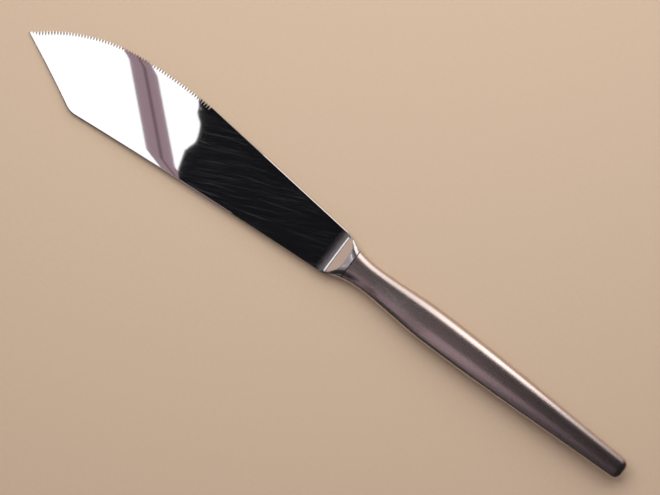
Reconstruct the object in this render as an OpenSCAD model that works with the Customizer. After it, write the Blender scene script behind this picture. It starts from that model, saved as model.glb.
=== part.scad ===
// Cake knife: a forged blade with a toothed belly, held by its tang in a hollow handle of two half shells.
// The knife is drawn level along X, with the handle joint at zero and the tip at negative X. The cutting
// edge faces +Y. At the end it is laid down on the plane z = 0, where its tip and its handle touch.

/* [Blade outline] */
// Length of the blade from the handle joint to the tip
blade_l = 145.8; // [132:0.1:160]
// Width of the blade at its heel
heel_w = 17.45; // [15:0.05:20]
// Flare of the straight edge away from the axis, in degrees
edge_angle = 5.4; // [3:0.1:8]
// Distance from the tip back to where the straight edge bends into the belly
belly_l = 75; // [66:0.1:86]
// Run of the belly's first tangent, before the nose bends down
belly_lead = 19.5; // [12:0.5:26]
// Angle of the edge to the axis at the tip, in degrees
nose_angle = 43.5; // [40:0.5:46]
// Offset of the tip from the axis, towards the spine
tip_drop = 3.6; // [1:0.1:5]
// Distance from the tip back to the corner of the spine
corner_back = 29.8; // [24:0.1:38]
// Offset of the spine's corner from the axis
corner_drop = 17.9; // [15:0.1:21]
// Radius that rounds the corner of the spine
corner_r = 8; // [4:0.5:14]
// Hollow of the slanted front, across its chord
front_bow = 0.25; // [0.1:0.05:1]
// Hollow of the spine, across its chord
spine_bow = 0.5; // [0.1:0.05:1.5]

/* [Blade section] */
// Thickness of the blade at its heel, on the spine's side
spine_t = 2; // [1.8:0.05:2.1]
// Thickness of the blade at its heel, on the edge's side
edge_t = 1.4; // [1.3:0.05:1.7]
// Thickness of the blade at its tip
tip_t = 0.84; // [0.8:0.02:1.2]
// Width of the easing along the spine and the slanted front
spine_ease = 0.25; // [0.1:0.05:0.35]
// Width of the easing along the plain stretch of the edge
edge_ease = 0.25; // [0.1:0.05:0.3]

/* [Teeth] */
// Plain stretch of the belly before its first tooth
plain_lead = 4.3; // [1:0.1:8]
// Spacing of the teeth along the belly
tooth_pitch = 1.15; // [0.8:0.05:2]
// Depth of the notch between two teeth
tooth_depth = 0.75; // [0.3:0.05:0.9]
// Thickness left at the bottom of a notch
tooth_t = 0.15; // [0.05:0.05:0.4]
// Lean of the ground grooves into the front face, in degrees
tooth_lean = 60; // [30:1:66]

/* [Bolster] */
// Length of the bolster from the blade's heel to the joint
bolster_l = 6.9; // [5:0.1:9]
// How far the foot of the bolster stands out past the heel
bolster_lip = 0.1; // [0.1:0.05:0.4]
// Narrowing of each side behind the heel, as a slope
heel_narrowing = 0.45; // [0.2:0.05:0.6]
// Squareness of the bolster's foot, as the power of its curve
foot_power = 12; // [6:0.5:16]

/* [Tang] */
// Length of the tang inside the handle
tang_l = 52; // [40:1:65]
// Width of the tang at the collar
tang_w = 7; // [5.5:0.1:7.6]
// Width of the tang at its end
tang_end_w = 4.6; // [4:0.1:5.4]
// Thickness of the tang
tang_t = 3.2; // [2.4:0.1:4]
// Number of keying notches along each side of the tang
notch_count = 3; // [1:1:5]
// Radius of a keying notch
notch_r = 1.6; // [0.8:0.1:2.4]
// Depth of a keying notch
notch_depth = 0.7; // [0.3:0.05:1]

/* [Handle] */
// Length of the handle from the joint to its butt
handle_l = 125; // [112:1:140]
// Width of the handle at its mouth
mouth_w = 12.6; // [11.4:0.1:14]
// Thickness of the handle at its mouth
mouth_t = 7.2; // [6.6:0.1:8]
// Flare of each side towards the mouth, as a slope
mouth_flare = 0.24; // [0.1:0.02:0.36]
// Distance from the joint to the waist
waist_at = 8.5; // [6:0.5:14]
// Width of the handle at its waist
waist_w = 10.6; // [9.8:0.1:11.6]
// Thickness of the handle at its waist
waist_t = 7; // [6.4:0.1:7.8]
// Distance from the joint to the widest part of the grip
swell_at = 38; // [28:1:50]
// Greatest width of the grip
swell_w = 13.7; // [12:0.1:16]
// Greatest thickness of the grip
swell_t = 9.6; // [8.6:0.1:11]
// Width of the handle at its butt
butt_w = 8.2; // [7:0.1:10]
// Thickness of the handle at its butt
butt_t = 5.8; // [5:0.1:7]
// Taper of each side at the butt, as a slope
butt_taper = 0.03; // [0.01:0.005:0.05]
// Length over which the butt is rounded off
butt_round = 3.4; // [2:0.1:5]
// Squareness of the butt, as the power of its curve
butt_power = 2.5; // [2:0.1:3.5]
// Fullness of the handle's section, as the power of its curve
section_power = 2.6; // [2:0.1:3.4]
// Wall of the half shells
wall = 0.8; // [0.5:0.05:1.1]

/* [Joints between the pieces] */
// Width of the cemented joint between collar and handle
joint_gap = 0.3; // [0.15:0.05:0.6]
// Depth of that joint below the outer surface
joint_recess = 0.35; // [0.1:0.05:0.45]
// Length of the cement past the end of the tang
cement_past = 7; // [3:0.5:15]
// Thickness of the solder between the half shells
seam_t = 0.12; // [0.06:0.02:0.3]

/* [Hidden] */

steel_colour = [0.80, 0.80, 0.81];
handle_colour = [0.50, 0.44, 0.45];
solder_colour = [0.66, 0.63, 0.60];
cement_colour = [0.24, 0.20, 0.18];

// Points along a curve, and round a half section
arc_steps = 10;
section_steps = 22;
notch_facets = 48;
// Stations along each stretch of the handle and of the bolster
mouth_steps = 6;
waist_steps = 10;
swell_steps = 4;
grip_steps = 10;
butt_steps = 8;
bolster_steps = 20;
// Share of the butt's rounding that is drawn before its flat end
butt_share = 0.985;
// How far a cutter reaches past what it cuts, and a joined shape into its neighbour
past = 1;
// Slopes along the bolster, as shares of its length and of its steepest slope: fillet, ramp and collar
rise_slopes = [[0, 0], [0.28, 1], [0.58, 1], [0.71, 0.5], [1, 0.5]];
// Share of the rise up to which the section keeps the square of its foot, before it turns into the oval
square_rise = 0.3;
// How far the flat blade reaches into the bolster, and the lean of its end there, as a slope
heel_overlap = 0.15;
heel_lean = 0.3;
// Height of the bolster's foot above the blade's face
foot_step = 0.03;
// Room between the teeth and the tip, as a multiple of the least that their notches need
tip_room = 1.1;
// Smooth margin on the faces inside the grooves and the easings
face_rim = 0.05;

cement_l = tang_l + cement_past;
section_end = handle_l - butt_round;

// Unit vector at an angle, its angle, and a quarter turn to the left
function heading(angle) = [cos(angle), sin(angle)];
function bearing(v) = atan2(v[1], v[0]);
function left(v) = [-v[1], v[0]];
function unit(v) = v / norm(v);
function lerp(a, b, t) = a + (b - a) * t;

// An arc is its centre, its radius and its first and last angle
function arc_between(centre, radius, from, to) =
    let (first = bearing(from - centre))
    let (turn = (bearing(to - centre) - first + 540) % 360 - 180)
    [centre, radius, first, first + turn];
function arc_point(arc, share) = arc[0] + arc[1] * heading(lerp(arc[2], arc[3], share));
function arc_length(arc) = arc[1] * abs(arc[3] - arc[2]) * PI / 180;

// Circle that touches the direction at a point and also passes another point, on the left
function touching_radius(point, direction, other) =
    let (chord = other - point)
    chord * chord / (2 * left(direction) * chord);
// Circle through two points that bows to the left of the way between them
function bow_radius(from, to, bow) = (pow(norm(to - from) / 2, 2) + bow * bow) / (2 * bow);
function bow_centre(from, to, bow) =
    (from + to) / 2 - left(unit(to - from)) * (bow_radius(from, to, bow) - bow);
// Point at two given distances from two centres, on the left of the way between them
function meeting_point(c0, r0, c1, r1) =
    let (d = norm(c1 - c0))
    let (along = (d * d + r0 * r0 - r1 * r1) / (2 * d))
    c0 + unit(c1 - c0) * along + left(unit(c1 - c0)) * sqrt(r0 * r0 - along * along);

// Corners of the blade, and the directions of its edge towards the tip
heel_edge = [-bolster_l, heel_w / 2];
heel_spine = [-bolster_l, -heel_w / 2];
tip = [-blade_l, -tip_drop];
corner = [corner_back - blade_l, -corner_drop];
edge_way = heading(180 - edge_angle);
nose_way = heading(180 + nose_angle);
edge_run = (blade_l - belly_l - bolster_l) / cos(edge_angle);
belly_start = heel_edge + edge_run * edge_way;

// Belly and nose: two arcs that follow the straight edge, each other and the direction at the tip
to_tip = tip - belly_start;
nose_lead = (to_tip * to_tip / 2 - belly_lead * (to_tip * edge_way))
    / (to_tip * nose_way + belly_lead * (1 - edge_way * nose_way));
belly_end = lerp(belly_start + belly_lead * edge_way, tip - nose_lead * nose_way,
    belly_lead / (belly_lead + nose_lead));
belly_r = touching_radius(belly_start, edge_way, belly_end);
nose_r = touching_radius(tip, nose_way, belly_end);
belly_arc = arc_between(belly_start + belly_r * left(edge_way), belly_r, belly_start, belly_end);
nose_arc = arc_between(tip + nose_r * left(nose_way), nose_r, belly_end, tip);

// Slanted front and spine: two shallow hollow arcs with a rounded corner between them
front_r = bow_radius(tip, corner, front_bow);
front_centre = bow_centre(tip, corner, front_bow);
spine_r = bow_radius(corner, heel_spine, spine_bow);
spine_centre = bow_centre(corner, heel_spine, spine_bow);
corner_centre = meeting_point(front_centre, front_r + corner_r, spine_centre, spine_r + corner_r);
front_end = front_centre + front_r * unit(corner_centre - front_centre);
spine_start = spine_centre + spine_r * unit(corner_centre - spine_centre);
front_arc = arc_between(front_centre, front_r, tip, front_end);
corner_arc = arc_between(corner_centre, corner_r, front_end, spine_start);
spine_arc = arc_between(spine_centre, spine_r, spine_start, heel_spine);

// Half thickness of the flat blade, which thins evenly towards the edge and towards the tip
thinning_across = (spine_t - edge_t) / 2 / heel_w;
heel_half = (spine_t + edge_t) / 4;
thinning_along = (heel_half + thinning_across * tip_drop - tip_t / 2) / (blade_l - bolster_l);
function plate_half(p) = heel_half - thinning_across * p[1] + thinning_along * (p[0] + bolster_l);

// At the sharp tip the way inwards splits the angle, and the grooves reach no further than that line
nose_in = left(nose_way);
front_in = unit(tip - front_centre);
tip_in = (nose_in + front_in) / (1 + nose_in * front_in);
tip_slope = 1 / tan(acos(nose_in * front_in) / 2);
tip_plain = tip_room * tooth_depth / tip_slope;

// Rim of the blade at a place: steps from the back face over the edge to the front face, each an inset from
// the outline and a share of the half thickness, with the first and the last one inside all the grooves
function groove_end(p) =
    min(tooth_depth + (2 * plate_half(p) - tooth_t) * tan(tooth_lean), norm(tip - p) * tip_slope - face_rim);
function tooth_steps(p, cut) =
    let (inner = groove_end(p) + face_rim)
    let (foot = tooth_t / plate_half(p) - 1)
    let (notch = cut * tooth_depth)
    [[inner, -1], [notch + face_rim, -1], [notch, (foot - 1) / 2], [notch, foot], [cut * groove_end(p), 1],
        [inner, 1]];
function eased_steps(p, ease, inner) =
    let (side = 1 - ease / plate_half(p))
    [[inner, -1], [ease, -1], [0, -side], [0, side], [ease, 1], [inner, 1]];
function plain_steps(p) = eased_steps(p, edge_ease, groove_end(p) + face_rim);
function spine_steps(p) = eased_steps(p, spine_ease, spine_ease + face_rim);

// Stations round the outline, each a place, its way inwards and its steps
function tooth_stations(arc, from, to) =
    let (count = round((to - from) / tooth_pitch))
    [for (i = [1 : 2 * count])
        let (p = arc_point(arc, lerp(from, to, i / (2 * count)) / arc_length(arc)))
        [p, unit(arc[0] - p), tooth_steps(p, i % 2)]];
function eased_stations(arc, side) =
    [for (i = [1 : arc_steps])
        let (p = arc_point(arc, i / arc_steps))
        [p, side * unit(arc[0] - p), spine_steps(p)]];
plate_edge = heel_edge - heel_overlap / cos(edge_angle) * edge_way;
teeth_start = arc_point(belly_arc, plain_lead / arc_length(belly_arc));
plate_spine = heel_spine + [heel_overlap, 0];
blade_stations = concat(
    [[plate_edge, [-heel_lean, -1], plain_steps(plate_edge)]],
    [[belly_start, left(edge_way), plain_steps(belly_start)]],
    [[teeth_start, unit(belly_arc[0] - teeth_start), plain_steps(teeth_start)]],
    tooth_stations(belly_arc, plain_lead, arc_length(belly_arc)),
    tooth_stations(nose_arc, 0, arc_length(nose_arc) - tip_plain),
    [[tip, tip_in, spine_steps(tip)]],
    eased_stations(front_arc, -1),
    eased_stations(corner_arc, 1),
    eased_stations(spine_arc, -1),
    [[plate_spine, [-heel_lean, 1], spine_steps(plate_spine)]]);
function rim_point(station, step) =
    let (p = station[0] + station[2][step][0] * station[1])
    [p[0], p[1], station[2][step][1] * plate_half(p)];

// Area below a line of places and heights, up to a place
function area_below(line, end) =
    let (areas = [for (i = [0 : len(line) - 2])
        let (run = line[i + 1][0] - line[i][0])
        let (part = min(max((end - line[i][0]) / run, 0), 1))
        run * part * lerp(line[i][1], line[i + 1][1], part / 2)])
    areas * [for (area = areas) 1];

// Cubic between two stations, each a place, a value and a slope
function blend(x, from, to) =
    let (run = to[0] - from[0])
    let (t = (x - from[0]) / run)
    (1 + 2 * t) * pow(1 - t, 2) * from[1] + t * pow(1 - t, 2) * run * from[2]
    + t * t * (3 - 2 * t) * to[1] + t * t * (t - 1) * run * to[2];
// Half size along the handle, from its mouth over its waist and its swell to its butt
function contour(x, mouth, waist, swell, butt, flare) =
    x < waist_at ? blend(x, [joint_gap, mouth / 2, -flare], [waist_at, waist / 2, 0])
    : x < swell_at ? blend(x, [waist_at, waist / 2, 0], [swell_at, swell / 2, 0])
    : blend(x, [swell_at, swell / 2, 0], [handle_l, butt / 2, -butt_taper]);
// Share of the size that the rounded butt leaves at x on a skin that lies below the surface
function butt_left(x, below) =
    let (u = (x - section_end) / (butt_round - below))
    u < 0 ? 1 : pow(1 - pow(u, butt_power), 1 / butt_power);
function half_w(x, below) =
    (contour(x, mouth_w, waist_w, swell_w, butt_w, mouth_flare) - below) * butt_left(x, below);
function half_t(x, below) =
    (contour(x, mouth_t, waist_t, swell_t, butt_t, 0) - below) * butt_left(x, below);

// Stations of a skin below the surface: mouth, waist, grip and rounded butt
function stretch(from, to, steps) = [for (i = [0 : steps - 1]) lerp(from, to, i / steps)];
function butt_stations(below) =
    [for (i = [0 : butt_steps]) section_end + (butt_round - below) * butt_share * sin(90 * i / butt_steps)];
front_stations = concat(
    stretch(joint_gap, waist_at, mouth_steps),
    stretch(waist_at, swell_at, waist_steps),
    stretch(swell_at, cement_l, swell_steps));
function handle_stations(below) =
    concat(front_stations, stretch(cement_l, section_end, grip_steps), butt_stations(below));

// Upper half of a rounded section at x, from one side over the crown to the other
function signed_power(value, power) = sign(value) * pow(abs(value), power);
function half_section(x, side, foot, crown, power) =
    [for (i = [0 : section_steps])
        let (angle = 180 * i / section_steps)
        [x, side * signed_power(cos(angle), 2 / power), lerp(foot, crown, pow(sin(angle), 2 / power))]];
function shell_section(x, below) =
    half_section(x, half_w(x, below), seam_t / 2, half_t(x, below), section_power);
// The same section, closed by a straight foot at a lower height
function footed_section(x, section, foot) =
    concat([for (p = section) [x, p[1], p[2]]],
        [[x, section[section_steps][1], foot], [x, section[0][1], foot]]);

// Closed skin through rings of equal count, with flat ends
module loft(rings) {
    count = len(rings[0]);
    last = len(rings) - 1;
    sides = [for (k = [0 : last - 1], i = [0 : count - 1])
        let (a = k * count + i, b = k * count + (i + 1) % count)
        each [[a, a + count, b], [b, a + count, b + count]]];
    first_end = [for (i = [0 : count - 1]) i];
    last_end = [for (i = [0 : count - 1]) last * count + (count - i) % count];
    polyhedron([for (ring = rings) each ring], concat([first_end], sides, [last_end]));
}

// Lays the level knife on z = 0, tip and handle down, with its middle above the origin
rest_tilt = atan((swell_t - tip_t) / 2 / (blade_l + swell_at));
rest_lift = max([for (x = handle_stations(0)) half_t(x, 0) * cos(rest_tilt) - x * sin(rest_tilt)]);
module lay_down() {
    translate([(blade_l - handle_l) / 2, 0, rest_lift])
        rotate([0, -rest_tilt, 0])
            children();
}

// Flat blade with its easings and teeth, as one skin from the back face to the front face
module blade_plate() {
    loft([for (step = [0 : 5]) [for (station = blade_stations) rim_point(station, step)]]);
}

// Section of the bolster at x: a thin square foot at the blade that grows into the handle's oval
function bolster_section(x) =
    let (rise = area_below(rise_slopes, 1 + x / bolster_l) / area_below(rise_slopes, 1))
    let (foot = [-bolster_l, heel_w / 2 + bolster_lip, -heel_narrowing])
    let (side = blend(x, foot, [0, mouth_w / 2, -mouth_flare]))
    let (turned = max(0, rise - square_rise) / (1 - square_rise))
    let (roundness = lerp(1 / foot_power, 1 / section_power, turned))
    [for (p = half_section(x, side, 0, 1, 1 / roundness))
        [x, p[1], p[2] * lerp(plate_half(p) + foot_step, mouth_t / 2, rise)]];
function whole_ring(half) =
    concat(half, [for (i = [section_steps - 1 : -1 : 1]) [half[i][0], half[i][1], -half[i][2]]]);

// Fillet, ramp and collar in one skin
module bolster() {
    stations = concat(stretch(-bolster_l, 0, bolster_steps), [0]);
    loft([for (x = stations) whole_ring(bolster_section(x))]);
}

function tang_half_w(x) = lerp(tang_w, tang_end_w, x / tang_l) / 2;

// Tapered flat tang with round keying notches in both sides
module tang() {
    linear_extrude(height = tang_t, center = true)
        difference() {
            polygon([[-past, tang_half_w(0)], [0, tang_half_w(0)], [tang_l, tang_end_w / 2],
                [tang_l, -tang_end_w / 2], [0, -tang_half_w(0)], [-past, -tang_half_w(0)]]);
            for (i = [1 : notch_count], side = [-1, 1])
                let (x = tang_l * i / (notch_count + 1))
                translate([x, side * (tang_half_w(x) + notch_r - notch_depth)])
                    circle(r = notch_r, $fn = notch_facets);
        }
}

module blade() {
    color(steel_colour)
        lay_down()
            union() {
                blade_plate();
                bolster();
                tang();
            }
}

// Upper half shell: the outer skin less the cavity, open at the mouth and along the seam
module half_shell() {
    outer = [for (x = handle_stations(0)) shell_section(x, 0)];
    mouth = shell_section(joint_gap, wall);
    cavity = concat(
        [footed_section(joint_gap - past, mouth, -past)],
        [for (x = handle_stations(wall)) footed_section(x, shell_section(x, wall), -past)]);
    difference() {
        loft(outer);
        loft(cavity);
    }
}

module front_shell() {
    color(handle_colour)
        lay_down()
            half_shell();
}

module back_shell() {
    color(handle_colour)
        lay_down()
            mirror([0, 0, 1])
                half_shell();
}

// Plan of the handle at the seam, on a skin below the surface
function seam_side(below) = [for (x = handle_stations(below)) [x, half_w(x, below)]];
module seam_plan(side) {
    polygon(concat(side, [for (i = [len(side) - 1 : -1 : 0]) [side[i][0], -side[i][1]]]));
}

module seam_solder() {
    color(solder_colour)
        lay_down()
            linear_extrude(height = seam_t, center = true)
                difference() {
                    seam_plan(seam_side(0));
                    seam_plan(concat([[joint_gap - past, half_w(joint_gap, wall)]], seam_side(wall)));
                }
}

// Upper half of the filling: a thin flange in the joint, then the front of the cavity
module half_filling() {
    flange = shell_section(joint_gap, joint_recess);
    loft(concat(
        [for (x = [0, joint_gap]) footed_section(x, flange, 0)],
        [for (x = concat(front_stations, [cement_l])) footed_section(x, shell_section(x, wall), 0)]));
}

module tang_cement() {
    color(cement_colour)
        lay_down()
            difference() {
                union() {
                    half_filling();
                    mirror([0, 0, 1])
                        half_filling();
                }
                tang();
            }
}

blade();
front_shell();
back_shell();
seam_solder();
tang_cement();
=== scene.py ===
"""Dresses a hollow-handled cake knife: finer meshes, finishes, studio light, painted reflections and
camera.
"""

import math
from collections import namedtuple

import bmesh
import bpy
from mathutils import Matrix, Vector


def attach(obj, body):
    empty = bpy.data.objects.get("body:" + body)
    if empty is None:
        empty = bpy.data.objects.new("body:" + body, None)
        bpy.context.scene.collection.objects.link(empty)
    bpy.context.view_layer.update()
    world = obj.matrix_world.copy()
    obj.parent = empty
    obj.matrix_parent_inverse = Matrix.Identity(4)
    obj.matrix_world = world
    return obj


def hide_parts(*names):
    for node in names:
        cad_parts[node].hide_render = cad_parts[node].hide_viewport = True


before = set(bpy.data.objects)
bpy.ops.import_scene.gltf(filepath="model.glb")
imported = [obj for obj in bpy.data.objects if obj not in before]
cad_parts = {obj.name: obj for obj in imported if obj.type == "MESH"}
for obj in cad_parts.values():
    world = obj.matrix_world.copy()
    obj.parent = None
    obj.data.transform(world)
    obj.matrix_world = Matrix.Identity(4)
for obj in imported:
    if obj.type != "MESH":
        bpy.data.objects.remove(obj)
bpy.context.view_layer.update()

bl_info = {
    "name": "Cake knife",
    "version": (1, 0, 0),
    "blender": (4, 5, 0),
    "location": "View3D > Sidebar > Cake knife",
    "description": "Builds the visible pieces, finishes and studio of a hollow-handled cake knife",
    "category": "Object",
}

MM = 0.001
BODY = "root"


def length(name, description, mm):
    """A length that is written in millimetres."""
    return bpy.props.FloatProperty(name=name, description=description, default=mm * MM, unit="LENGTH")


def angle(name, description, degrees):
    """An angle that is written in degrees."""
    return bpy.props.FloatProperty(
        name=name,
        description=description,
        default=math.radians(degrees),
        subtype="ANGLE",
        unit="ROTATION",
    )


def number(name, description, value):
    """A plain number."""
    return bpy.props.FloatProperty(name=name, description=description, default=value)


def linear(code):
    """Linear colour of an sRGB hex value."""
    parts = [int(code[i : i + 2], 16) / 255 for i in (1, 3, 5)]
    return tuple(c / 12.92 if c <= 0.04045 else ((c + 0.055) / 1.055) ** 2.4 for c in parts)


def colour(name, description, code):
    """A colour that is written as an sRGB hex value."""
    return bpy.props.FloatVectorProperty(
        name=name,
        description=description,
        default=linear(code),
        subtype="COLOR",
        size=3,
        min=0,
        max=1,
    )


class BladeSizes(bpy.types.PropertyGroup):
    """Sizes of the forged blade, its bolster and its tang."""

    blade_l: length("Blade length", "From the handle joint to the tip", 145.8)
    heel_w: length("Heel width", "Width of the blade at its heel", 17.45)
    edge_angle: angle("Edge flare", "Flare of the straight edge away from the axis", 5.4)
    belly_l: length("Belly length", "From the tip back to where the straight edge bends", 75)
    belly_lead: length("Belly lead", "Run of the belly's first tangent", 19.5)
    nose_angle: angle("Nose angle", "Angle of the edge to the axis at the tip", 43.5)
    tip_drop: length("Tip drop", "Offset of the tip towards the spine", 3.6)
    corner_back: length("Corner distance", "From the tip back to the corner of the spine", 29.8)
    corner_drop: length("Corner drop", "Offset of the spine's corner from the axis", 17.9)
    corner_r: length("Corner radius", "Rounding of the spine's corner", 8)
    front_bow: length("Front hollow", "Hollow of the slanted front", 0.25)
    spine_bow: length("Spine hollow", "Hollow of the spine", 0.5)
    spine_t: length("Spine thickness", "Thickness at the heel, on the spine's side", 2.0)
    edge_t: length("Edge thickness", "Thickness at the heel, on the edge's side", 1.4)
    tip_t: length("Tip thickness", "Thickness at the tip", 0.84)
    rim_r: length("Rim rounding", "Rounding along the spine and the front", 0.25)
    bevel_w: length("Bevel width", "Width of the bevel along the plain edge", 0.32)
    bevel_drop: length("Bevel depth", "How far the bevel comes down at the plain edge", 0.114)
    plain_lead: length("Plain lead", "Plain stretch of the belly before its first tooth", 4.3)
    tooth_pitch: length("Tooth pitch", "Spacing of the teeth", 1.15)
    tooth_depth: length("Tooth depth", "Depth of the notch between two teeth", 0.75)
    tooth_t: length("Tooth edge", "Thickness left at the bottom of a notch", 0.15)
    tooth_lean: angle("Tooth lean", "Lean of the grooves into the front face", 60)
    bolster_l: length("Bolster length", "From the blade's heel over ramp and collar to the joint", 6.9)
    bolster_lip: length("Bolster lip", "How far the ramp's foot stands out past the heel", 0.1)
    heel_narrowing: number("Heel narrowing", "Slope of each side behind the heel", 0.45)
    foot_power: number("Foot squareness", "Squareness of the ramp's foot", 12)
    tang_l: length("Tang length", "Tang inside the handle", 52)
    tang_w: length("Tang width", "Width of the tang at the collar", 7)
    tang_end_w: length("Tang end", "Width of the tang at its end", 4.6)
    tang_t: length("Tang thickness", "Thickness of the tang", 3.2)


class HandleSizes(bpy.types.PropertyGroup):
    """Sizes of the two half shells."""

    handle_l: length("Handle length", "From the joint to the butt", 125)
    mouth_w: length("Mouth width", "Width of the handle at its mouth", 12.6)
    mouth_t: length("Mouth thickness", "Thickness of the handle at its mouth", 7.2)
    mouth_flare: number("Mouth flare", "Slope of each side towards the mouth", 0.24)
    waist_at: length("Waist place", "From the joint to the waist", 8.5)
    waist_w: length("Waist width", "Width of the handle at its waist", 10.6)
    waist_t: length("Waist thickness", "Thickness of the handle at its waist", 7)
    swell_at: length("Swell place", "From the joint to the widest part of the grip", 38)
    swell_w: length("Swell width", "Greatest width of the grip", 13.7)
    swell_t: length("Swell thickness", "Greatest thickness of the grip", 9.6)
    butt_w: length("Butt width", "Width of the handle at its butt", 8.2)
    butt_t: length("Butt thickness", "Thickness of the handle at its butt", 5.8)
    butt_taper: number("Butt taper", "Slope of each side at the butt", 0.03)
    butt_round: length("Butt rounding", "Length over which the butt is rounded off", 3.4)
    butt_power: number("Butt squareness", "Squareness of the butt", 2.5)
    section_power: number("Section fullness", "Fullness of the handle's section", 2.6)
    wall: length("Wall", "Wall of the half shells", 0.8)
    joint_gap: length("Joint width", "Cemented joint between collar and handle", 0.3)
    seam_t: length("Seam", "Solder between the half shells", 0.12)


class Finishes(bpy.types.PropertyGroup):
    """Colours of the finishes and of the studio."""

    steel: colour("Polished steel", "Reflected colour of the blade", "#D2D0D1")
    silver: colour("Satin silver", "Reflected colour of the handle", "#D8CCC8")
    solder: colour("Solder", "Reflected colour of the seam", "#B9AFA9")
    cement: colour("Cement", "Colour of the filling in the joint", "#241D19")
    paper: colour("Paper", "Colour of the surface below the knife", "#D0B99F")
    room: colour("Room", "Light of the room all round", "#80767A")


def settings():
    """The three groups of sizes and colours."""
    scene = bpy.context.scene
    return scene.cake_knife_blade, scene.cake_knife_handle, scene.cake_knife_finishes


# Plane geometry of the blade's outline

Arc = namedtuple("Arc", "centre radius first last")
Station = namedtuple("Station", "place inward steps toothed")


def heading(turn):
    """Unit vector at a turn."""
    return Vector((math.cos(turn), math.sin(turn)))


def left(way):
    """Direction turned left by a right angle."""
    return Vector((-way.y, way.x))


def mix(start, end, share):
    """Value at a share of the way between two others."""
    return start + (end - start) * share


def arc_between(centre, radius, start, end):
    """Shorter arc of a circle between two of its points."""
    first = math.atan2(*reversed(start - centre))
    last = math.atan2(*reversed(end - centre))
    turn = (last - first + math.pi) % math.tau - math.pi
    return Arc(centre, radius, first, first + turn)


def arc_point(arc, share):
    """Point at a share of an arc."""
    return arc.centre + arc.radius * heading(mix(arc.first, arc.last, share))


def arc_length(arc):
    """Length along an arc."""
    return arc.radius * abs(arc.last - arc.first)


def touching_radius(point, direction, other):
    """Radius of the circle that touches a direction at a point and passes another point."""
    chord = other - point
    return chord.dot(chord) / (2 * left(direction).dot(chord))


def bowed_circle(start, end, bow):
    """Centre and radius of the circle through two points that bows to the left by a given amount."""
    half = (end - start).length / 2
    radius = (half * half + bow * bow) / (2 * bow)
    return (start + end) / 2 - left((end - start).normalized()) * (radius - bow), radius


def meeting_point(near, near_r, far, far_r):
    """Point at two distances from two centres, on the left of the way between them."""
    way = far - near
    along = (way.length_squared + near_r * near_r - far_r * far_r) / (2 * way.length)
    aside = math.sqrt(near_r * near_r - along * along)
    return near + way.normalized() * along + left(way.normalized()) * aside


def blade_outline(blade):
    """Corners, directions and arcs of the blade's outline, from the heel over the tip and back."""
    heel_edge = Vector((-blade.bolster_l, blade.heel_w / 2))
    heel_spine = Vector((-blade.bolster_l, -blade.heel_w / 2))
    tip = Vector((-blade.blade_l, -blade.tip_drop))
    corner = Vector((blade.corner_back - blade.blade_l, -blade.corner_drop))
    edge_way = heading(math.pi - blade.edge_angle)
    nose_way = heading(math.pi + blade.nose_angle)
    plain_run = (blade.blade_l - blade.belly_l - blade.bolster_l) / math.cos(blade.edge_angle)
    belly_start = heel_edge + edge_way * plain_run
    to_tip = tip - belly_start
    nose_lead = (to_tip.dot(to_tip) / 2 - blade.belly_lead * to_tip.dot(edge_way)) / (
        to_tip.dot(nose_way) + blade.belly_lead * (1 - edge_way.dot(nose_way))
    )
    belly_end = mix(
        belly_start + edge_way * blade.belly_lead,
        tip - nose_way * nose_lead,
        blade.belly_lead / (blade.belly_lead + nose_lead),
    )
    belly_r = touching_radius(belly_start, edge_way, belly_end)
    nose_r = touching_radius(tip, nose_way, belly_end)
    front_centre, front_r = bowed_circle(tip, corner, blade.front_bow)
    spine_centre, spine_r = bowed_circle(corner, heel_spine, blade.spine_bow)
    corner_centre = meeting_point(
        front_centre, front_r + blade.corner_r, spine_centre, spine_r + blade.corner_r
    )
    front_end = front_centre + (corner_centre - front_centre).normalized() * front_r
    spine_start = spine_centre + (corner_centre - spine_centre).normalized() * spine_r
    nose_in = left(nose_way)
    front_in = (tip - front_centre).normalized()
    return {
        "tip": tip,
        "tip_in": (nose_in + front_in) / (1 + nose_in.dot(front_in)),
        "tip_slope": 1 / math.tan(math.acos(nose_in.dot(front_in)) / 2),
        "edge_way": edge_way,
        "heel_edge": heel_edge,
        "heel_spine": heel_spine,
        "belly_start": belly_start,
        "belly": arc_between(belly_start + left(edge_way) * belly_r, belly_r, belly_start, belly_end),
        "nose": arc_between(tip + left(nose_way) * nose_r, nose_r, belly_end, tip),
        "front": arc_between(front_centre, front_r, tip, front_end),
        "corner": arc_between(corner_centre, blade.corner_r, front_end, spine_start),
        "spine": arc_between(spine_centre, spine_r, spine_start, heel_spine),
    }


# Sections of the blade's rim, teeth included

# Points over half a rim, and their shares of the way
RIM_POINTS = 4
RIM_SHARES = [i / (RIM_POINTS - 1) for i in range(RIM_POINTS)]
# Narrow strip beside a rim or a border that keeps the shading of the face flat
FACE_MARGIN = 0.06 * MM
ARC_STEPS = 36
# One tooth and its notch, as shares of the pitch and of the depth
TOOTH_PROFILE = ((0.06, 0.0), (0.47, 1.0), (0.53, 1.0), (0.94, 0.0), (1.0, 0.0))
# Border over which the polishing wheel rolls both faces off, and its drop at the outline
ROLL_W = 3.0 * MM
ROLL_DROP = 0.014 * MM
TOOTHED_ROLL_DROP = 0.006 * MM
ROLL_POINTS = 4
# Plain stretch before the tip, as a share of what the depth of a tooth needs there
TIP_ROOM = 1.1
# How near the grooves and the border come to the line that splits the tip, as shares of the way in
GROOVE_ROOM = 0.7
ROLL_ROOM = 0.85
# Steps of a toothed station that the grinding wheel left
GROUND_STEPS = range(ROLL_POINTS + RIM_POINTS, ROLL_POINTS + 2 * RIM_POINTS)


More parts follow.
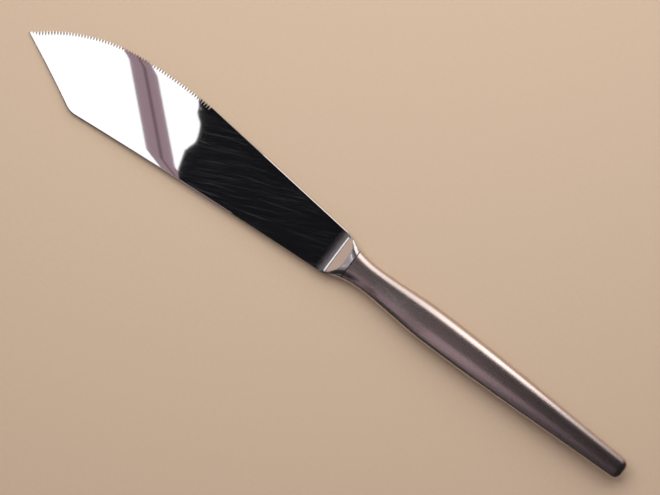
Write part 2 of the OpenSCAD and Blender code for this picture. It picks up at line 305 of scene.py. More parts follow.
def plate_half(blade, x, y):
    """Half thickness of the flat blade, which thins towards the edge and towards the tip."""
    across = (blade.spine_t - blade.edge_t) / 2 / blade.heel_w
    heel = (blade.spine_t + blade.edge_t) / 4
    along = (heel + across * blade.tip_drop - blade.tip_t / 2) / (blade.blade_l - blade.bolster_l)
    return heel - across * y + along * (x + blade.bolster_l)


def mirrored(steps):
    """The same steps on the back, in reverse order."""
    return [(inset, -share) for inset, share in reversed(steps)]


def rounded_steps(blade, half):
    """Steps over a rounded rim, each an inset and a share of the half thickness."""
    radius = blade.rim_r
    front = []
    for share in RIM_SHARES:
        turn = math.pi / 2 * share
        front.append((radius * (1 - math.cos(turn)), 1 - radius / half * (1 - math.sin(turn))))
    front.append((radius + FACE_MARGIN, 1))
    return mirrored(front) + front


def whetted_steps(blade, half):
    """Steps over the plain edge, which a stone has bevelled from both faces."""
    width, drop = blade.bevel_w, blade.bevel_drop / half
    front = [(width * share, 1 - drop * (1 - share)) for share in RIM_SHARES]
    front.append((width + FACE_MARGIN, 1))
    return mirrored(front) + front


def way_in(outline, point):
    """Way in from a point of the outline to the line that splits the tip."""
    return (outline["tip"] - point).length * outline["tip_slope"]


def groove_end(blade, outline, point):
    """Inset at which the grooves run out on the front face, short of the line that splits the tip."""
    height = 2 * plate_half(blade, point.x, point.y) - blade.tooth_t
    full = blade.tooth_depth + height * math.tan(blade.tooth_lean)
    return min(full, way_in(outline, point) * GROOVE_ROOM)


def tooth_steps(blade, outline, point, cut):
    """Steps over a tooth, which keeps its full face, or over a notch and its groove."""
    foot = blade.tooth_t / plate_half(blade, point.x, point.y) - 1
    run_out = groove_end(blade, outline, point)
    notch = cut * blade.tooth_depth
    behind = [(notch + FACE_MARGIN * share, -1) for share in reversed(RIM_SHARES)]
    ground = [(mix(notch, cut * run_out, share), mix(foot, 1, share)) for share in RIM_SHARES]
    inner = run_out + FACE_MARGIN
    return [(inner, -1), *behind, *ground, (inner, 1)]


def bordered(outline, point, rim):
    """Steps over a rim with the rolled borders of both faces added."""
    start = rim[-1][0]
    end = max(start + FACE_MARGIN, min(ROLL_W, way_in(outline, point) * ROLL_ROOM))
    border = [(mix(start, end, k / (ROLL_POINTS - 1)), 1) for k in range(1, ROLL_POINTS)]
    border.append((end + FACE_MARGIN, 1))
    return mirrored(border) + rim + border


def tooth_stations(blade, outline, arc, start, end):
    """Stations along the toothed stretch of an arc, several to each tooth."""
    count = round((end - start) / blade.tooth_pitch)
    stations = []
    for i in range(count):
        for share, cut in TOOTH_PROFILE:
            along = mix(start, end, (i + share) / count)
            point = arc_point(arc, along / arc_length(arc))
            steps = bordered(outline, point, tooth_steps(blade, outline, point, cut))
            stations.append(Station(point, (arc.centre - point).normalized(), steps, True))
    return stations


def plain_station(blade, outline, point, inward, rim_steps):
    """A station without teeth, with a rim of a given kind."""
    rim = rim_steps(blade, plate_half(blade, point.x, point.y))
    return Station(point, inward, bordered(outline, point, rim), False)


def rounded_stations(blade, outline, arc, side, steps):
    """Stations along a rounded arc, whose inner side is towards its centre or away from it."""
    stations = []
    for i in range(1, steps + 1):
        point = arc_point(arc, i / ARC_STEPS)
        inward = side * (arc.centre - point).normalized()
        stations.append(plain_station(blade, outline, point, inward, rounded_steps))
    return stations


def blade_stations(blade):
    """Stations round the blade from the heel's edge over the tip to the heel's spine."""
    outline = blade_outline(blade)
    belly, nose = outline["belly"], outline["nose"]
    tip_plain = TIP_ROOM * blade.tooth_depth / outline["tip_slope"]
    teeth_start = arc_point(belly, blade.plain_lead / arc_length(belly))
    teeth_in = (belly.centre - teeth_start).normalized()
    edge_in = left(outline["edge_way"])
    return [
        plain_station(blade, outline, outline["heel_edge"], Vector((0, -1)), whetted_steps),
        plain_station(blade, outline, outline["belly_start"], edge_in, whetted_steps),
        plain_station(blade, outline, teeth_start, teeth_in, whetted_steps),
        *tooth_stations(blade, outline, belly, blade.plain_lead, arc_length(belly)),
        *tooth_stations(blade, outline, nose, 0, arc_length(nose) - tip_plain),
        plain_station(blade, outline, outline["tip"], outline["tip_in"], rounded_steps),
        *rounded_stations(blade, outline, outline["front"], -1, ARC_STEPS),
        *rounded_stations(blade, outline, outline["corner"], 1, ARC_STEPS),
        *rounded_stations(blade, outline, outline["spine"], -1, ARC_STEPS - 1),
        plain_station(blade, outline, outline["heel_spine"], Vector((0, 1)), rounded_steps),
    ]


# Sections of the bolster, the tang and the handle

FACE_POINTS = 15
# Points over one rim from face to face, and over one face with both its borders
RIM_ROW = 2 * (RIM_POINTS + 1)
FACE_ROW = FACE_POINTS + 2 * ROLL_POINTS
# Slope of the ramp and the collar, as shares of the bolster's length and of the steepest slope
RISE_SLOPES = ((0.0, 0.0), (0.28, 1.0), (0.58, 1.0), (0.71, 0.5), (1.0, 0.5))
BOLSTER_STEPS = 44
# Share of the rise up to which the section keeps the square of its foot, before it turns into the oval
SQUARE_RISE = 0.3
# Easing of the collar's end at the joint
JOINT_EASE = 0.06 * MM
TANG_STEPS = 40
# Squareness of the tang
TANG_POWER = 16
# Keying notches on each side of the tang
NOTCHES = 3
NOTCH_R = 1.6 * MM
NOTCH_DEPTH = 0.7 * MM


def area_below(profile, end):
    """Area below a line of places and heights, up to a place."""
    area = 0
    for (x0, y0), (x1, y1) in zip(profile, profile[1:]):
        part = min(max((end - x0) / (x1 - x0), 0), 1)
        area += (x1 - x0) * part * (y0 + (y1 - y0) * part / 2)
    return area


def blend(x, start, end):
    """Cubic between two stations, each a place, a value and a slope."""
    run = end[0] - start[0]
    share = (x - start[0]) / run
    return (
        (1 + 2 * share) * (1 - share) ** 2 * start[1]
        + share * (1 - share) ** 2 * run * start[2]
        + share * share * (3 - 2 * share) * end[1]
        + share * share * (share - 1) * run * end[2]
    )


def oval_ring(side, crown, power):
    """Points round a full oval, from the back of the edge's side on; its crown depends on y."""
    # Share of both half sizes at which the sides of the oval pass into its faces
    reach = 0.5 ** (1 / power)
    ends = [reach * (2 * k / (RIM_ROW - 1) - 1) for k in range(RIM_ROW)]
    faces = [reach * (1 - 2 * (m + 1) / (FACE_ROW + 1)) for m in range(FACE_ROW)]

    def other(share):
        return (1 - abs(share) ** power) ** (1 / power)

    ring = [(side * other(share), share) for share in ends]
    ring += [(side * share, other(share)) for share in faces]
    ring += [(-side * other(share), share) for share in reversed(ends)]
    ring += [(side * share, -other(share)) for share in reversed(faces)]
    return [(y, z * crown(y)) for y, z in ring]


def tang_side(blade, x):
    """Half width of the tang, less its keying notches."""
    side = mix(blade.tang_w, blade.tang_end_w, x / blade.tang_l) / 2
    for n in range(1, NOTCHES + 1):
        off = abs(x - blade.tang_l * n / (NOTCHES + 1))
        if off < NOTCH_R:
            side -= max(0, math.sqrt(NOTCH_R**2 - off**2) - NOTCH_R + NOTCH_DEPTH)
    return side


def bolster_rings(blade, handle):
    """Rings of the ramp, the collar and the tang, each a place along the knife and its points."""
    foot = (-blade.bolster_l, blade.heel_w / 2 + blade.bolster_lip, -blade.heel_narrowing)
    joint = (0, handle.mouth_w / 2, -handle.mouth_flare)
    rings = []
    for i in range(BOLSTER_STEPS + 1):
        x = mix(-blade.bolster_l, -JOINT_EASE, i / BOLSTER_STEPS)
        rise = area_below(RISE_SLOPES, 1 + x / blade.bolster_l) / area_below(RISE_SLOPES, 1)

        def crown(y, x=x, rise=rise):
            return mix(plate_half(blade, x, y), handle.mouth_t / 2, rise)

        turned = max(0, rise - SQUARE_RISE) / (1 - SQUARE_RISE)
        roundness = mix(1 / blade.foot_power, 1 / handle.section_power, turned)
        rings.append((x, oval_ring(blend(x, foot, joint), crown, 1 / roundness)))
    eased_side, eased_crown = handle.mouth_w / 2 - JOINT_EASE, handle.mouth_t / 2 - JOINT_EASE
    rings.append((0, oval_ring(eased_side, lambda y: eased_crown, handle.section_power)))
    for i in range(TANG_STEPS + 1):
        x = blade.tang_l * i / TANG_STEPS
        rings.append((x, oval_ring(tang_side(blade, x), lambda y: blade.tang_t / 2, TANG_POWER)))
    return rings


def contour(handle, x, mouth, waist, swell, butt, flare):
    """Half size along the handle, from its mouth over its waist and its swell to its butt."""
    if x < handle.waist_at:
        return blend(x, (handle.joint_gap, mouth / 2, -flare), (handle.waist_at, waist / 2, 0))
    if x < handle.swell_at:
        return blend(x, (handle.waist_at, waist / 2, 0), (handle.swell_at, swell / 2, 0))
    return blend(x, (handle.swell_at, swell / 2, 0), (handle.handle_l, butt / 2, -handle.butt_taper))


def butt_left(handle, x, below):
    """Share of the size that the rounded butt leaves on a skin below the surface."""
    share = (x - handle.handle_l + handle.butt_round) / (handle.butt_round - below)
    return 1 if share < 0 else (1 - share**handle.butt_power) ** (1 / handle.butt_power)


def half_w(handle, x, below):
    """Half width of the handle on a skin below the surface."""
    widths = (handle.mouth_w, handle.waist_w, handle.swell_w, handle.butt_w)
    side = contour(handle, x, *widths, handle.mouth_flare)
    return (side - below) * butt_left(handle, x, below)


def half_t(handle, x, below):
    """Half thickness of the handle on a skin below the surface."""
    heights = (handle.mouth_t, handle.waist_t, handle.swell_t, handle.butt_t)
    crown = contour(handle, x, *heights, 0)
    return (crown - below) * butt_left(handle, x, below)


GRIP_STEPS = 110
# Power that draws the steps of the grip towards its mouth
GRIP_BUNCHING = 1.3
BUTT_STEPS = 18
# Share of the butt's rounding at which its small end face closes the shells
BUTT_SHARE = 0.999
SECTION_STEPS = 56


def handle_stations(handle, below):
    """Places along a skin of the handle, close together where it bends."""
    section_end = handle.handle_l - handle.butt_round
    shares = [(i / GRIP_STEPS) ** GRIP_BUNCHING for i in range(GRIP_STEPS)]
    turns = [math.pi / 2 * i / BUTT_STEPS for i in range(BUTT_STEPS + 1)]
    reach = (handle.butt_round - below) * BUTT_SHARE
    grip = [mix(handle.joint_gap, section_end, share) for share in shares]
    return grip + [section_end + reach * math.sin(turn) for turn in turns]


def half_section(handle, x, below):
    """Upper half of the handle's section on a skin below the surface."""
    side, crown, foot = half_w(handle, x, below), half_t(handle, x, below), handle.seam_t / 2
    power = 2 / handle.section_power
    points = []
    for i in range(SECTION_STEPS + 1):
        turn = math.pi * i / SECTION_STEPS
        y = side * math.copysign(abs(math.cos(turn)) ** power, math.cos(turn))
        points.append((y, mix(foot, crown, abs(math.sin(turn)) ** power)))
    return points


def laid_down(blade, handle):
    """Places the level knife on the surface, tip and handle down, with its middle above the origin."""
    tilt = math.atan((handle.swell_t - blade.tip_t) / 2 / (blade.blade_l + handle.swell_at))
    places = handle_stations(handle, 0)
    lift = max(half_t(handle, x, 0) * math.cos(tilt) - x * math.sin(tilt) for x in places)
    middle = (blade.blade_l - handle.handle_l) / 2
    return Matrix.Translation((middle, 0, lift)) @ Matrix.Rotation(-tilt, 4, "Y")


# Meshes

# Angle from which an edge is shaded sharp
SHARP = math.radians(24)


def finished_piece(name, mesh_data, material, node):
    """Makes a piece from points and faces, shades it and lets it stand for its solid."""
    blade, handle, _ = settings()
    points, faces = mesh_data
    mesh = bpy.data.meshes.new(name)
    mesh.from_pydata(points, [], faces)
    mesh.transform(laid_down(blade, handle))
    work = bmesh.new()
    work.from_mesh(mesh)
    bmesh.ops.recalc_face_normals(work, faces=work.faces)
    work.to_mesh(mesh)
    work.free()
    mesh.shade_smooth()
    mesh.set_sharp_from_angle(angle=SHARP)
    mesh.materials.append(material)
    piece = bpy.data.objects.new(name, mesh)
    bpy.context.scene.collection.objects.link(piece)
    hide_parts(node)
    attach(piece, BODY)
    return piece


def strip(first, second, closed):
    """Faces between two rows of point numbers."""
    count = len(first) if closed else len(first) - 1
    pairs = [(i, (i + 1) % len(first)) for i in range(count)]
    return [(first[i], first[j], second[j], second[i]) for i, j in pairs]


def blade_mesh(blade, handle):
    """Points and faces of the blade, and the numbers of the faces in its grooves."""
    points, faces, ground = [], [], []

    def row(places):
        start = len(points)
        points.extend(places)
        return list(range(start, len(points)))

    def on_blade(place, share, inset, toothed=False):
        rolled = (TOOTHED_ROLL_DROP if toothed else ROLL_DROP) * max(0, 1 - inset / ROLL_W) ** 2
        return (place.x, place.y, share * (plate_half(blade, place.x, place.y) - rolled))

    stations = blade_stations(blade)
    rows = []
    for place, inward, steps, toothed in stations:
        rows.append(row([on_blade(place + inward * i, share, i, toothed) for i, share in steps]))
    for k, (first, second) in enumerate(zip(rows, rows[1:])):
        if stations[k].toothed and stations[k + 1].toothed:
            ground += [len(faces) + step for step in GROUND_STEPS]
        faces += strip(first, second, False)
    edge, spine = rows[0], rows[-1]
    edge_y, spine_y = points[edge[-1]][1], points[spine[-1]][1]
    across = [mix(edge_y, spine_y, (m + 1) / (FACE_POINTS + 1)) for m in range(FACE_POINTS)]
    front = row([on_blade(Vector((-blade.bolster_l, y)), 1, ROLL_W) for y in across])
    back = row([on_blade(Vector((-blade.bolster_l, y)), -1, ROLL_W) for y in reversed(across)])
    faces.append([numbers[-1] for numbers in rows] + front[::-1])
    faces.append([numbers[0] for numbers in rows] + back)
    last = edge[ROLL_POINTS:] + front + spine[::-1] + back + edge[:ROLL_POINTS]
    for x, ring in bolster_rings(blade, handle):
        this = row([(x, y, z) for y, z in ring])
        faces += strip(last, this, True)
        last = this
    faces.append(last)
    return points, faces, ground


def shell_mesh(handle, side):
    """Points and faces of one half shell: outer skin, inner skin, mouth, seam and butt."""
    points, faces, rows = [], [], []
    for outer_x, inner_x in zip(handle_stations(handle, 0), handle_stations(handle, handle.wall)):
        start = len(points)
        outer = half_section(handle, outer_x, 0)
        inner = half_section(handle, inner_x, handle.wall)
        points += [(outer_x, y, side * z) for y, z in outer]
        points += [(inner_x, y, side * z) for y, z in reversed(inner)]
        rows.append(list(range(start, len(points))))
    for first, second in zip(rows, rows[1:]):
        faces += strip(first, second, True)
    half = SECTION_STEPS + 1
    faces += strip(rows[0][:half], rows[0][half:][::-1], False)
    outer_end, inner_end = rows[-1][:half], rows[-1][half:]
    faces.append(outer_end)
    faces.append(inner_end)
    faces.append((outer_end[0], outer_end[-1], inner_end[0], inner_end[-1]))
    return points, faces


# Finishes

# Bundles of streaks: turn in degrees, length and spacing in millimetres, and a seed
HAIRLINES = ((25, 24, 0.44, 0.31), (17, 30, 0.5, 0.67))
SATIN_LINES = (0, 14, 0.14, 0.2)
SATIN_WEAR = (0, 40, 3, 0.6)
# Values of the noise between which a hairline comes up, and the dull coat that shows it
HAIRLINE_FADE = {"From Min": 0.6, "From Max": 0.76}
HAIRLINE_ROUGHNESS = 0.35
HAIRLINE_IOR = 1.55
# Zones of the blade: start and end in millimetres from the heel, and the roughness at both.
# The first goes from mirror to rubbed steel, the second from there to the satin of the bolster
BLADE_ZONES = ((-3.4, 0.4, 0.022, 0.42), (0.2, 0.5, 0.42, 0.17))
# Least and most roughness of the grained metals, and the even roughness of the rest
SATIN_ROUGHNESS = {"To Min": 0.23, "To Max": 0.31}
GROUND_ROUGHNESS = {"To Min": 0.25, "To Max": 0.45}
SOLDER_ROUGHNESS = {"To Min": 0.35, "To Max": 0.6}
CEMENT_ROUGHNESS = 0.85
PAPER_ROUGHNESS = 0.9
PAPER_GLOSS = 0.2
# Size of the grain in millimetres
GROUND_GRIT = 0.15
SOLDER_GRAIN = 0.5
CEMENT_GRAIN = 0.4
PAPER_FIBRE = 1.5
# How fine the noise goes below that size
STREAK_DETAIL = 2.0
CEMENT_DETAIL = 3.0
PAPER_DETAIL = 4.0
# Share of the colour that is left where the grain is darkest
CEMENT_SHADE = 0.6
PAPER_SHADE = 0.94
# Strength and height of the relief
SATIN_RELIEF = {"Strength": 0.04, "Distance": 0.01 * MM}
PAPER_RELIEF = {"Strength": 0.1, "Distance": 0.05 * MM}


def add_node(tree, kind, values=(), links=(), **options):
    """Adds a node with its options, the values of its inputs and the links into them."""
    node = tree.nodes.new(kind)
    for name, value in options.items():
        setattr(node, name, value)
    for name, value in dict(values).items():
        node.inputs[name].default_value = value
    for name, source in dict(links).items():
        tree.links.new(source, node.inputs[name])
    return node


def new_material(name):
    """An empty material, its tree, its shader and the coordinates of the object."""
    material = bpy.data.materials.new(name)
    material.use_nodes = True
    tree = material.node_tree
    shader = tree.nodes["Principled BSDF"]
    place = add_node(tree, "ShaderNodeTexCoord").outputs["Object"]
    return material, tree, shader, place


def new_metal(name, base):
    """A material that is bare metal of one colour, with its tree, its shader and the coordinates."""
    material, tree, shader, place = new_material(name)
    shader.inputs["Base Color"].default_value = (*base, 1)
    shader.inputs["Metallic"].default_value = 1
    return material, tree, shader, place


def streaks(tree, place, turn, run_mm, spacing_mm, seed):
    """Pattern of fine lines of a given length and spacing that run at a turn to the knife."""
    turned = add_node(
        tree, "ShaderNodeMapping", {"Rotation": (0, 0, -math.radians(turn))}, {"Vector": place}
    )
    scale = (1 / (run_mm * MM), 1 / (spacing_mm * MM), 1 / (spacing_mm * MM))
    stretched = add_node(
        tree,
        "ShaderNodeMapping",
        {"Scale": scale, "Location": (seed, seed, seed)},
        {"Vector": turned.outputs["Vector"]},
    )
    lines = add_node(
        tree,
        "ShaderNodeTexNoise",
        {"Scale": 1.0, "Detail": STREAK_DETAIL},
        {"Vector": stretched.outputs["Vector"]},
    )
    return lines.outputs["Fac"]


def polished_steel(base, heel_x):
    """Mirror-polished stainless steel, rubbed at the heel, satin beyond: sharp images, then soft."""
    material, tree, shader, place = new_metal("mirror_polished_stainless_steel", base)
    # Hairlines from use are about 0.02 mm wide: they are drawn wider here, to show
    bundles = []
    for sizes in HAIRLINES:
        lines = {"Value": streaks(tree, place, *sizes)}
        bundle = add_node(tree, "ShaderNodeMapRange", HAIRLINE_FADE, lines)
        bundles.append(bundle.outputs["Result"])
    wear = add_node(tree, "ShaderNodeMath", {}, dict(enumerate(bundles)), operation="MAXIMUM")
    tree.links.new(wear.outputs["Value"], shader.inputs["Coat Weight"])
    shader.inputs["Coat Roughness"].default_value = HAIRLINE_ROUGHNESS
    shader.inputs["Coat IOR"].default_value = HAIRLINE_IOR
    axes = add_node(tree, "ShaderNodeSeparateXYZ", {}, {"Vector": place})
    zones = []
    for start, end, first, last in BLADE_ZONES:
        reach = {"From Min": heel_x + start * MM, "From Max": heel_x + end * MM}
        zone = add_node(
            tree,
            "ShaderNodeMapRange",
            {**reach, "To Min": first, "To Max": last},
            {"Value": axes.outputs["X"]},
        )
        zones.append(zone.outputs["Result"])
    rough = add_node(tree, "ShaderNodeMath", {}, dict(enumerate(zones)), operation="MINIMUM")
    tree.links.new(rough.outputs["Value"], shader.inputs["Roughness"])
    return material


def ground_steel(base):
    """Stainless steel as the wheel left it in the grooves of the teeth: grey, with a soft gleam."""
    material, tree, shader, place = new_metal("wheel_ground_stainless_steel", base)
    grit = add_node(
        tree, "ShaderNodeTexNoise", {"Scale": 1 / (GROUND_GRIT * MM)}, {"Vector": place}
    )
    rough = add_node(tree, "ShaderNodeMapRange", GROUND_ROUGHNESS, {"Value": grit.outputs["Fac"]})
    tree.links.new(rough.outputs["Result"], shader.inputs["Roughness"])
    return material


def satin_silver(base):
    """Silver plate, satined lengthwise and worn by use: a soft sheen drawn out round the section."""
    material, tree, shader, place = new_metal("satin_silver_plate", base)
    lines = streaks(tree, place, *SATIN_LINES)
    wear = streaks(tree, place, *SATIN_WEAR)
    both = add_node(
        tree, "ShaderNodeMix", {"Factor": 0.5}, {"A": lines, "B": wear}, data_type="FLOAT"
    )
    rough = add_node(tree, "ShaderNodeMapRange", SATIN_ROUGHNESS, {"Value": both.outputs["Result"]})
    tree.links.new(rough.outputs["Result"], shader.inputs["Roughness"])
    bump = add_node(tree, "ShaderNodeBump", SATIN_RELIEF, {"Height": lines})
    tree.links.new(bump.outputs["Normal"], shader.inputs["Normal"])
    return material


def dull_solder(base):
    """Silver solder, filed flush: duller than the shells."""
    material, tree, shader, place = new_metal("filed_silver_solder", base)
    grain = add_node(
        tree, "ShaderNodeTexNoise", {"Scale": 1 / (SOLDER_GRAIN * MM)}, {"Vector": place}
    )
    rough = add_node(tree, "ShaderNodeMapRange", SOLDER_ROUGHNESS, {"Value": grain.outputs["Fac"]})
    tree.links.new(rough.outputs["Result"], shader.inputs["Roughness"])
    return material


def dark_cement(base):
    """Resin cement with dirt from use: matt and nearly black."""
    material, tree, shader, place = new_material("dark_resin_cement")
    grain = add_node(
        tree,
        "ShaderNodeTexNoise",
        {"Scale": 1 / (CEMENT_GRAIN * MM), "Detail": CEMENT_DETAIL},
        {"Vector": place},
    )
    darker = tuple(part * CEMENT_SHADE for part in base)
    tint = add_node(
        tree,
        "ShaderNodeMix",
        {"A": (*darker, 1), "B": (*base, 1)},
        {"Factor": grain.outputs["Fac"]},
        data_type="RGBA",
    )
    tree.links.new(tint.outputs["Result"], shader.inputs["Base Color"])
    shader.inputs["Roughness"].default_value = CEMENT_ROUGHNESS
    return material


def matt_paper(base):
    """Uncoated paper: an even tint with faint fibres."""
    material, tree, shader, place = new_material("uncoated_paper")
    fibre = add_node(
        tree,
        "ShaderNodeTexNoise",
        {"Scale": 1 / (PAPER_FIBRE * MM), "Detail": PAPER_DETAIL},
        {"Vector": place},
    )
    darker = tuple(part * PAPER_SHADE for part in base)
    tint = add_node(
        tree,
        "ShaderNodeMix",
        {"A": (*darker, 1), "B": (*base, 1)},
        {"Factor": fibre.outputs["Fac"]},
        data_type="RGBA",
    )
    tree.links.new(tint.outputs["Result"], shader.inputs["Base Color"])
    bump = add_node(tree, "ShaderNodeBump", PAPER_RELIEF, {"Height": fibre.outputs["Fac"]})
    tree.links.new(bump.outputs["Normal"], shader.inputs["Normal"])
    shader.inputs["Roughness"].default_value = PAPER_ROUGHNESS
    shader.inputs["Specular IOR Level"].default_value = PAPER_GLOSS
    return material


def painted_reflection_glow(name, code, strength):
    """Even glow of a card that paints a reflection, bright for some cards, nearly black for others."""
    material = bpy.data.materials.new(name)
    material.use_nodes = True
    tree = material.node_tree
    tree.nodes.clear()
    glow = add_node(tree, "ShaderNodeEmission", {"Color": (*linear(code), 1), "Strength": strength})
    add_node(tree, "ShaderNodeOutputMaterial", {}, {"Surface": glow.outputs["Emission"]})
    return material


# Studio

# Camera straight above the knife, turned in its plane, and its lens in millimetres
PHOTO_TURN = math.radians(37.25)
PICTURE_RIGHT = Vector((math.cos(PHOTO_TURN), math.sin(PHOTO_TURN), 0))
PICTURE_UP = Vector((-math.sin(PHOTO_TURN), math.cos(PHOTO_TURN), 0))
CAMERA_PLACE = Vector((0.81, 0.38, 600)) * MM
CAMERA_LENS = 88.9
# Half a side of the paper in metres, and the corners of a square
FLOOR_HALF = 3.0
SQUARE = ((-1, -1), (1, -1), (1, 1), (-1, 1))
LAMP_AIM = Vector((-20, 60, 0)) * MM
LAMP_SPREAD = math.radians(120)
# Soft lamps: name, place in millimetres, width and height in metres, and power in watts
LAMPS = (
    ("key", (0, 450, 370), (0.5, 0.45), 0.61),
    ("overhead", (-290, 190, 600), (0.6, 0.5), 1.78),
)
# Steps of a smooth line between two of its points
CURVE_STEPS = 6


def level(height, *outline):
    """Corners of a level card."""
    return [(x, y, height) for x, y in outline]


def upright(y, *outline):
    """Corners of an upright card along the knife."""
    return [(x, y, z) for x, z in outline]


def eased(before, start, end, after, share):
    """Value on a smooth line between two values, led by the ones beside them."""
    bend = 2 * before - 5 * start + 4 * end - after
    turn = 3 * (start - end) + after - before
    return start + share * (end - before + share * (bend + share * turn)) / 2


def smooth(points):
    """Points along a smooth line through given points."""
    ends = [points[0], *points, points[-1]]
    line = []
    for four in zip(ends, ends[1:], ends[2:], ends[3:]):
        for i in range(CURVE_STEPS):
            line.append(tuple(eased(*values, i / CURVE_STEPS) for values in zip(*four)))
    return [*line, points[-1]]


# Edge of the dark card that paints the black reflection, as the polished blade shows it
CLOTH_EDGE = (
    (-150, -140),
    (-201, 6),
    (-205, 23),
    (-203, 34),
    (-209, 48),
    (-216, 54),
    (-218, 63),
    (-223, 68),
    (-290, 250),
)
# Outlines of the larger cards that paint reflections, in millimetres
CLOTH_REST = ((-290, 700), (900, 700), (900, -1800), (-100, -1800), (-100, -140))
DARK_WALL = ((-215, 0), (700, 0), (700, 220), (155, 220), (155, 60), (15, 60), (15, 220), (-215, 220))
WINDOW = ((-80, 110), (100, 110), (100, 580), (40, 680), (-80, 680))
WINDOW_END = ((100, 110), (195, 110), (200, 330), (180, 600), (100, 620))
BUTT_WALL = ((500, -600, 0), (500, 600, 0), (500, 600, 600), (500, -600, 600))
DARK_CORNER = ((-1000, -670), (-230, -200), (-230, -1200), (-1000, -1600))
# Cards that paint reflections, seen only in the metal: name, colour, glow and corners in millimetres
CARDS = (
    # Painted reflections in the blade's mirror: the white of its tip half and the purple-grey bar across
    # it
    ("white_card", "#FFFFFF", 1.7, level(900, (-525, -80), (-60, -80), (-60, 170), (-525, 170))),
    ("grey_bar", "#AE949C", 1.0, level(890, (-421, 165), (-170, -58), (-155, -41), (-406, 182))),
    ("grey_bar_seam", "#8A707A", 0.8, level(885, (-414, 174), (-163, -49), (-161, -47), (-412, 176))),
    # Painted pinkish reflection on the bolster's ramp and collar
    ("warm_wall", "#E8CCB8", 0.88, level(500, (-1500, -1000), (-470, -310), (-470, 700), (-1500, 1500))),
    ("warm_wall_edge", "#E6D8D0", 0.58, level(500, (-470, -60), (-350, -60), (-350, 600), (-470, 700))),
    # Painted highlight: the window cards here, window_left and window_sill paint the highlight along the
    # handle's upper side and on the collar
    ("window", "#FFF8F4", 1.5, upright(470, *WINDOW)),
    ("window_end", "#FFF8F4", 2.6, upright(470, *WINDOW_END)),
    # Painted shade: a dark sheet beside the mouth, which the handle shows as the shade below its lower
    # side
    ("painted_shade_ledge", "#FFFFFF", 0.02, level(32, (-38, -12), (19, -12), (17, -220), (-38, -220))),
    ("window_left", "#FFF0E4", 0.6, upright(470, (-300, 200), (-80, 200), (-80, 680), (-300, 680))),
    ("window_sill", "#FFEEDC", 0.85, upright(470, (-80, 4), (205, 4), (205, 110), (-80, 110))),
    # Painted dark reflections: the butt's end, the far corner and, below, the low side of the room
    ("butt_wall", "#FFFFFF", 0.02, BUTT_WALL),
    ("dark_corner", "#FFFFFF", 0.03, level(500, *DARK_CORNER)),
    # Painted purple-grey reflection on the lower part of the handle
    ("rose_side", "#FFE2EE", 0.56, level(870, (-240, -200), (-100, -150), (-100, -1800), (-240, -1800))),
    ("dark_wall", "#FFFFFF", 0.03, upright(-300, *DARK_WALL)),
    # Painted shadow: a dark sheet on the paper beside the handle, which the metal shows as the shadowed
    # paper there
    ("painted_shadow_floor", "#FFFFFF", 0.05, level(0.2, (-215, -300), (700, -300), (700, -16), (-215, -16))),
    # Painted black reflection: the dark ceiling that the polished blade and the handle's top show
    ("painted_dark_ceiling", "#F2ECFF", 0.01, level(880, *smooth(CLOTH_EDGE), *CLOTH_REST)),
    # Painted reflections on the handle's top: a dim one, and a purple-grey one lower down
    ("dim_screen", "#FFDADF", 0.1, level(875, (20, 700), (20, -130), (185, -130), (185, 700))),
    ("rose_screen", "#FFE2EE", 0.66, level(870, (56, -130), (56, -1800), (208, -1800), (208, -130))),
)


class CAKEKNIFE_OT_blade(bpy.types.Operator):
    """Builds the forged blade with its teeth, ramp, collar and tang"""

    bl_idname = "mesh.cake_knife_blade"
    bl_label = "Blade"

    def execute(self, context):
        blade, handle, finishes = settings()
        heel_x = (blade.blade_l - handle.handle_l) / 2 - blade.bolster_l
        points, faces, ground = blade_mesh(blade, handle)
        steel = polished_steel(finishes.steel, heel_x)
        forging = finished_piece("forged_blade", (points, faces), steel, "blade")
        forging.data.materials.append(ground_steel(finishes.steel))
        for face in ground:
            forging.data.polygons[face].material_index = 1
        return {"FINISHED"}


class CAKEKNIFE_OT_shells(bpy.types.Operator):
    """Builds the two pressed half shells of the handle"""

    bl_idname = "mesh.cake_knife_shells"
    bl_label = "Half shells"

    def execute(self, context):
        _, handle, finishes = settings()
        silver = satin_silver(finishes.silver)
        halves = (("upper_half_shell", 1, "front_shell"), ("lower_half_shell", -1, "back_shell"))
        for name, side, node in halves:
            finished_piece(name, shell_mesh(handle, side), silver, node)
        return {"FINISHED"}


class CAKEKNIFE_OT_joints(bpy.types.Operator):
    """Gives the solder of the seam and the cement of the tang their finishes"""

    bl_idname = "object.cake_knife_joints"
    bl_label = "Solder and cement"

    def execute(self, context):
        finishes = settings()[2]
        fillings = {
            "seam_solder": dull_solder(finishes.solder),
            "tang_cement": dark_cement(finishes.cement),
        }
        for node, material in fillings.items():
            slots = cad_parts[node].data.materials
            slots.clear()
            slots.append(material)
        return {"FINISHED"}


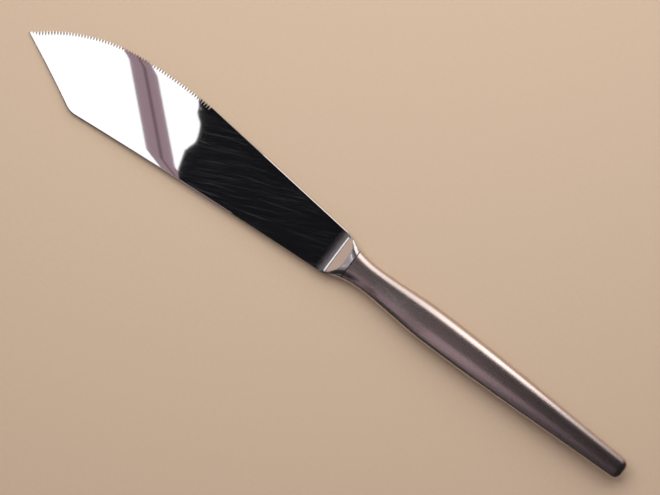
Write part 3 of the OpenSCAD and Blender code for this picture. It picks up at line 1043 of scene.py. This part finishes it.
class CAKEKNIFE_OT_stage(bpy.types.Operator):
    """Sets the paper, the lights, the cards that paint reflections and the camera"""

    bl_idname = "scene.cake_knife_stage"
    bl_label = "Studio"

    def execute(self, context):
        finishes = settings()[2]
        scene = context.scene
        scene.view_settings.view_transform = "Standard"
        floor = [(x * FLOOR_HALF, y * FLOOR_HALF, 0) for x, y in SQUARE]
        self.add_sheet("paper", floor, matt_paper(finishes.paper))
        world = bpy.data.worlds.new("room")
        world.use_nodes = True
        background = world.node_tree.nodes["Background"]
        background.inputs["Color"].default_value = (*finishes.room, 1)
        scene.world = world
        # Each card glows only in reflections: it paints highlights, reflections and reflected shade on
        # the metal
        for name, code, strength, corners in CARDS:
            glow = painted_reflection_glow(name, code, strength)
            card = self.add_sheet(name, [Vector(c) * MM for c in corners], glow)
            card.visible_camera = card.visible_diffuse = card.visible_shadow = False
        for lamp in LAMPS:
            self.add_light(*lamp)
        camera = bpy.data.objects.new("camera", bpy.data.cameras.new("camera"))
        camera.data.lens = CAMERA_LENS
        axes = Matrix((PICTURE_RIGHT, PICTURE_UP, Vector((0, 0, 1)))).transposed()
        camera.matrix_world = Matrix.Translation(CAMERA_PLACE) @ axes.to_4x4()
        scene.collection.objects.link(camera)
        scene.camera = camera
        return {"FINISHED"}

    def add_sheet(self, name, corners, material):
        """A flat sheet of the studio."""
        mesh = bpy.data.meshes.new(name)
        mesh.from_pydata(corners, [], [range(len(corners))])
        mesh.materials.append(material)
        sheet = bpy.data.objects.new(name, mesh)
        bpy.context.scene.collection.objects.link(sheet)
        return sheet

    def add_light(self, name, place_mm, size, power):
        """A soft white lamp that points at the paper above the middle of the picture, kept out of
        reflections.
        """
        lamp = bpy.data.lights.new(name, "AREA")
        lamp.shape = "RECTANGLE"
        lamp.size, lamp.size_y = size
        lamp.energy = power
        lamp.spread = LAMP_SPREAD
        light = bpy.data.objects.new(name, lamp)
        light.location = Vector(place_mm) * MM
        light.rotation_mode = "QUATERNION"
        light.rotation_quaternion = (LAMP_AIM - light.location).to_track_quat("-Z", "Y")
        # Hidden from the camera and from reflections: the window cards paint the highlight this lamp
        # would give
        light.visible_camera = light.visible_glossy = False
        bpy.context.scene.collection.objects.link(light)


class CAKEKNIFE_PT_panel(bpy.types.Panel):
    """Sizes, finishes and pieces of the cake knife"""

    bl_label = "Cake knife"
    bl_idname = "CAKEKNIFE_PT_panel"
    bl_space_type = "VIEW_3D"
    bl_region_type = "UI"
    bl_category = "Cake knife"

    def draw(self, context):
        layout = self.layout
        for group in settings():
            for name in group.__annotations__:
                layout.prop(group, name)
        for operator in OPERATORS:
            layout.operator(operator.bl_idname)


GROUPS = (
    ("cake_knife_blade", BladeSizes),
    ("cake_knife_handle", HandleSizes),
    ("cake_knife_finishes", Finishes),
)
OPERATORS = (CAKEKNIFE_OT_blade, CAKEKNIFE_OT_shells, CAKEKNIFE_OT_joints, CAKEKNIFE_OT_stage)


def register():
    for name, group in GROUPS:
        bpy.utils.register_class(group)
        setattr(bpy.types.Scene, name, bpy.props.PointerProperty(type=group))
    for cls in (*OPERATORS, CAKEKNIFE_PT_panel):
        bpy.utils.register_class(cls)


def unregister():
    for cls in (CAKEKNIFE_PT_panel, *reversed(OPERATORS)):
        bpy.utils.unregister_class(cls)
    for name, group in reversed(GROUPS):
        delattr(bpy.types.Scene, name)
        bpy.utils.unregister_class(group)


def main():
    register()
    bpy.ops.mesh.cake_knife_blade()
    bpy.ops.mesh.cake_knife_shells()
    bpy.ops.object.cake_knife_joints()
    bpy.ops.scene.cake_knife_stage()


if __name__ == "__main__":
    main()
